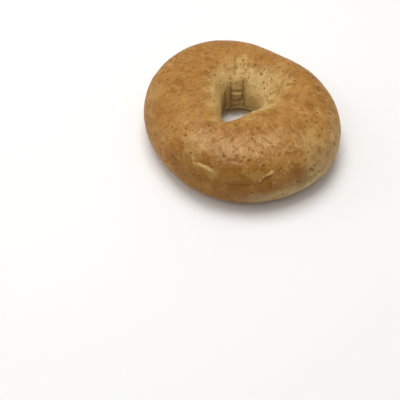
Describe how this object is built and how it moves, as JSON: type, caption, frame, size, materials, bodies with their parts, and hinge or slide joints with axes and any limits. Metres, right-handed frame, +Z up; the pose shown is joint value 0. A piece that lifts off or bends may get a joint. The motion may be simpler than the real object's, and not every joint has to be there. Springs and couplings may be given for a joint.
{
  "type": "bagel",
  "caption": "Whole plain wheat bagel: an uneven hand-shaped ring of baked dough with a small three-cornered hole and a flat underside to lie on.",
  "frame": {"origin": "on the surface the bagel lies on, under the middle of its outline", "axes": "+Z up through the hole with the browned side up, -Y towards the side with the split crust, +X to the right of someone who looks at that side"},
  "size_m": [0.107, 0.1074, 0.0331],
  "materials": {
    "crust": "baked wheat crust, semi-gloss golden brown, paler in the hole and low on the sides, with dark bran flecks"
  },
  "bodies": {
    "root": {"bagel": "crust"}
  },
  "joints": []
}
